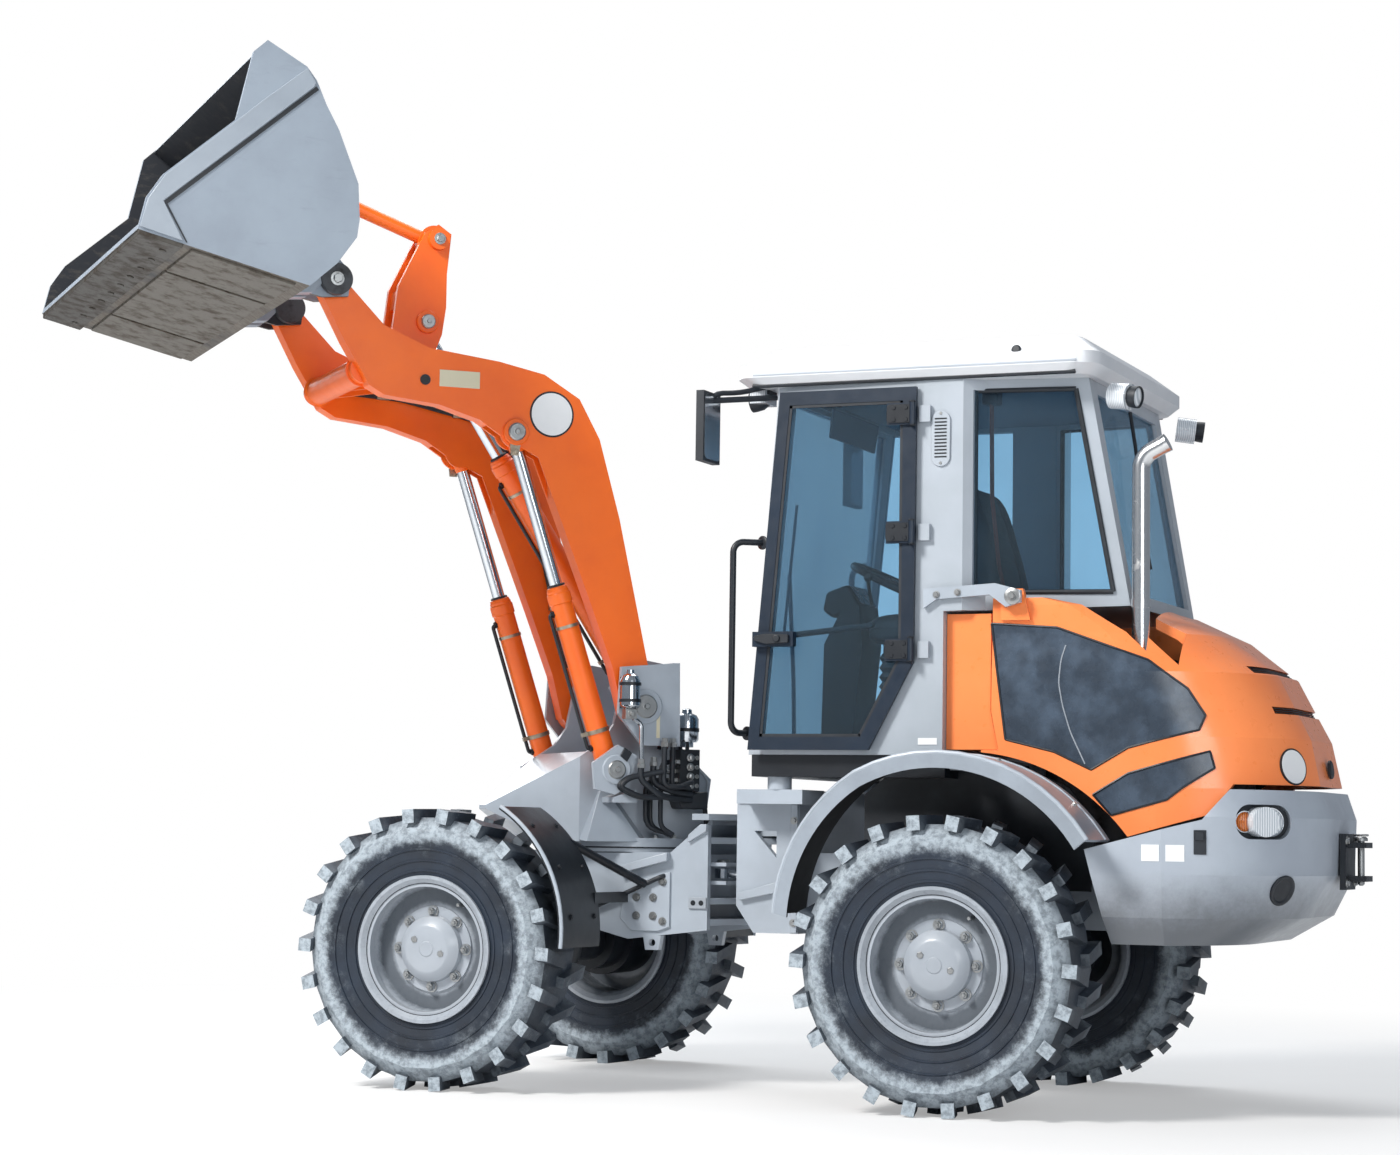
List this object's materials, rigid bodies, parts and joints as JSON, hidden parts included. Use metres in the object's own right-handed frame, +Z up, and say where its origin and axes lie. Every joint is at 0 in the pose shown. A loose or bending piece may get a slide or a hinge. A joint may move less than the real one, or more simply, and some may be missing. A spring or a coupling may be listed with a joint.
{
  "type": "swing wheel loader",
  "caption": "Compact articulated wheel loader whose lift tower swings sideways on the front frame, with its bucket raised.",
  "frame": {"origin": "on the ground, below the middle of the rear axle", "axes": "+X forward to the front axle, +Y to the left side of the machine, +Z up; the lift tower stands swung 45 degrees to the left"},
  "size_m": [5.1723, 3.2123, 3.7447],
  "materials": {
    "orange_paint": "gloss",
    "grey_paint": "satin",
    "white_paint": "gloss",
    "rim_paint": "satin",
    "black_paint": "satin",
    "dark_plastic": "matte",
    "dark_panel": "gloss",
    "worn_steel": "worn",
    "polished_rod": "polished",
    "cast_grey": "painted casting",
    "engine_metal": "rough",
    "tyre": "dusty",
    "glass": "clear, faint blue tint",
    "lamp_glass": "clear",
    "seat_fabric": "woven",
    "pin_steel": "zinc plated",
    "exhaust_metal": "brushed"
  },
  "bodies": {
    "rear": {"rear_frame": "grey_paint", "rear_axle": "black_paint", "counterweight": "cast_grey", "engine_block": "engine_metal", "engine_panels": "orange_paint", "hood_brackets": "grey_paint", "rear_fenders": "grey_paint", "cab_floor": "black_paint", "cab_frame": "grey_paint", "cab_glass": "glass", "cab_roof": "white_paint", "seat": "seat_fabric", "seat_base": "dark_plastic", "console": "dark_plastic", "steering_wheel": "dark_plastic", "exhaust": "exhaust_metal", "mirrors": "dark_plastic", "lamps": "lamp_glass", "handrails": "black_paint", "tow_hitch": "black_paint"},
    "front": {"front_frame": "grey_paint", "front_axle": "black_paint", "front_fenders": "dark_plastic"},
    "tower": {"tower": "grey_paint", "valve_block": "black_paint"},
    "boom": {"boom": "orange_paint"},
    "bucket_pins": {"bucket_pins": "pin_steel"},
    "bucket": {"bucket": "grey_paint"},
    "lever_pin": {"lever_pin": "pin_steel"},
    "lever": {"lever": "orange_paint"},
    "link_pin": {"link_pin": "pin_steel"},
    "tilt_link": {"tilt_link": "orange_paint"},
    "tilt_pin": {"tilt_pin": "pin_steel"},
    "tilt_barrel": {"tilt_barrel": "orange_paint"},
    "tilt_rod": {"tilt_rod": "polished_rod"},
    "lift_barrels": {"lift_barrels": "orange_paint"},
    "lift_rods": {"lift_rods": "polished_rod"},
    "steer_barrel_left": {"steer_barrel_left": "black_paint"},
    "steer_barrel_right": {"steer_barrel_right": "black_paint"},
    "steer_rod_left": {"steer_rod_left": "polished_rod"},
    "steer_rod_right": {"steer_rod_right": "polished_rod"},
    "door": {"door_frame": "black_paint", "door_glass": "glass"},
    "hood": {"hood": "orange_paint", "hood_panels": "dark_panel"},
    "wheel_front_left": {"tyre_front_left": "tyre", "rim_front_left": "rim_paint"},
    "wheel_front_right": {"tyre_front_right": "tyre", "rim_front_right": "rim_paint"},
    "wheel_rear_left": {"tyre_rear_left": "tyre", "rim_rear_left": "rim_paint"},
    "wheel_rear_right": {"tyre_rear_right": "tyre", "rim_rear_right": "rim_paint"}
  },
  "joints": [
    {"name": "steer", "type": "hinge", "parent": "rear", "child": "front", "pos_m": [0.995, 0, 0.85], "axis": [0, 0, -1], "range_deg": [-40, 40]},
    {"name": "spin_front_left", "type": "hinge", "parent": "front", "child": "wheel_front_left", "pos_m": [1.99, 0.81, 0.522], "axis": [0, 1, 0], "continuous": true},
    {"name": "spin_front_right", "type": "hinge", "parent": "front", "child": "wheel_front_right", "pos_m": [1.99, -0.81, 0.522], "axis": [0, 1, 0], "continuous": true},
    {"name": "spin_rear_left", "type": "hinge", "parent": "rear", "child": "wheel_rear_left", "pos_m": [0, 0.81, 0.522], "axis": [0, 1, 0], "continuous": true},
    {"name": "spin_rear_right", "type": "hinge", "parent": "rear", "child": "wheel_rear_right", "pos_m": [0, -0.81, 0.522], "axis": [0, 1, 0], "continuous": true},
    {"name": "slew", "type": "hinge", "parent": "front", "child": "tower", "pos_m": [1.605, 0, 0.91], "axis": [0, 0, 1], "range_deg": [-135, 45]},
    {"name": "lift", "type": "hinge", "parent": "tower", "child": "boom", "pos_m": [1.66864, 0.06364, 1.45], "axis": [0.7071, -0.7071, 0], "range_deg": [-84, 14]},
    {"name": "bucket_level", "type": "hinge", "parent": "boom", "child": "bucket_pins", "pos_m": [2.56101, 0.95601, 3.008], "axis": [0.7071, -0.7071, 0], "range_deg": [-11, 56]},
    {"name": "bucket_tilt", "type": "hinge", "parent": "bucket_pins", "child": "bucket", "pos_m": [2.56101, 0.95601, 3.008], "axis": [0.7071, -0.7071, 0], "range_deg": [-55, 32]},
    {"name": "lever_level", "type": "hinge", "parent": "boom", "child": "lever_pin", "pos_m": [2.28029, 0.67529, 2.746], "axis": [0.7071, -0.7071, 0], "range_deg": [-9, 48]},
    {"name": "lever_swing", "type": "hinge", "parent": "lever_pin", "child": "lever", "pos_m": [2.28029, 0.67529, 2.746], "axis": [0.7071, -0.7071, 0], "range_deg": [-44, 26]},
    {"name": "link_level", "type": "hinge", "parent": "lever", "child": "link_pin", "pos_m": [2.20816, 0.60316, 3.265], "axis": [0.7071, -0.7071, 0], "range_deg": [-42, 8]},
    {"name": "link_swing", "type": "hinge", "parent": "link_pin", "child": "tilt_link", "pos_m": [2.20816, 0.60316, 3.265], "axis": [0.7071, -0.7071, 0], "range_deg": [-21, 35]},
    {"name": "tilt_level", "type": "hinge", "parent": "tower", "child": "tilt_pin", "pos_m": [1.59086, -0.01414, 1.54], "axis": [0.7071, -0.7071, 0], "range_deg": [-81, 15]},
    {"name": "tilt_swing", "type": "hinge", "parent": "tilt_pin", "child": "tilt_barrel", "pos_m": [1.59086, -0.01414, 1.54], "axis": [0.7071, -0.7071, 0], "range_deg": [-4, 3]},
    {"name": "tilt_stroke", "type": "slide", "parent": "tilt_barrel", "child": "tilt_rod", "axis": [0.3864, 0.3864, 0.8375], "range_m": [-0.073, 0.121]},
    {"name": "lift_swing", "type": "hinge", "parent": "tower", "child": "lift_barrels", "pos_m": [1.74996, 0.14496, 1.205], "axis": [0.7071, -0.7071, 0], "range_deg": [-82, 15]},
    {"name": "lift_stroke", "type": "slide", "parent": "lift_barrels", "child": "lift_rods", "axis": [0.2192, 0.2192, 0.9507], "range_m": [-0.358, 0.064]},
    {"name": "steer_swing_left", "type": "hinge", "parent": "rear", "child": "steer_barrel_left", "pos_m": [0.43, 0.235, 0.815], "axis": [0, 0, 1], "range_deg": [-7, 7]},
    {"name": "steer_stroke_left", "type": "slide", "parent": "steer_barrel_left", "child": "steer_rod_left", "axis": [0.9986, -0.0522, 0], "range_m": [-0.144, 0.144]},
    {"name": "steer_swing_right", "type": "hinge", "parent": "rear", "child": "steer_barrel_right", "pos_m": [0.43, -0.235, 0.815], "axis": [0, 0, 1], "range_deg": [-7, 7]},
    {"name": "steer_stroke_right", "type": "slide", "parent": "steer_barrel_right", "child": "steer_rod_right", "axis": [0.9986, 0.0522, 0], "range_m": [-0.144, 0.144]},
    {"name": "door", "type": "hinge", "parent": "rear", "child": "door", "pos_m": [0.19, 0.66, 1.9], "axis": [0, 0, 1], "range_deg": [0, 95]},
    {"name": "hood", "type": "hinge", "parent": "rear", "child": "hood", "pos_m": [-0.186, 0, 1.828], "axis": [0, 1, 0], "range_deg": [0, 40]}
  ],
  "couplings": [
    {"joint": "bucket_level", "follows": "lift", "ratio": -0.653},
    {"joint": "lever_level", "follows": "lift", "ratio": -0.549},
    {"joint": "link_level", "follows": "lift", "ratio": 0.486},
    {"joint": "tilt_level", "follows": "lift", "ratio": 0.941},
    {"joint": "lift_swing", "follows": "lift", "ratio": 0.956},
    {"joint": "lift_stroke", "follows": "lift", "m_per_rad": 0.2406},
    {"joint": "lever_swing", "follows": "bucket_tilt", "ratio": 0.766},
    {"joint": "link_swing", "follows": "bucket_tilt", "ratio": -0.61},
    {"joint": "tilt_swing", "follows": "bucket_tilt", "ratio": 0.046},
    {"joint": "tilt_stroke", "follows": "bucket_tilt", "m_per_rad": -0.121},
    {"joint": "steer_swing_left", "follows": "steer", "ratio": -0.137},
    {"joint": "steer_stroke_left", "follows": "steer", "m_per_rad": 0.1985},
    {"joint": "steer_swing_right", "follows": "steer", "ratio": -0.137},
    {"joint": "steer_stroke_right", "follows": "steer", "m_per_rad": -0.1985}
  ]
}
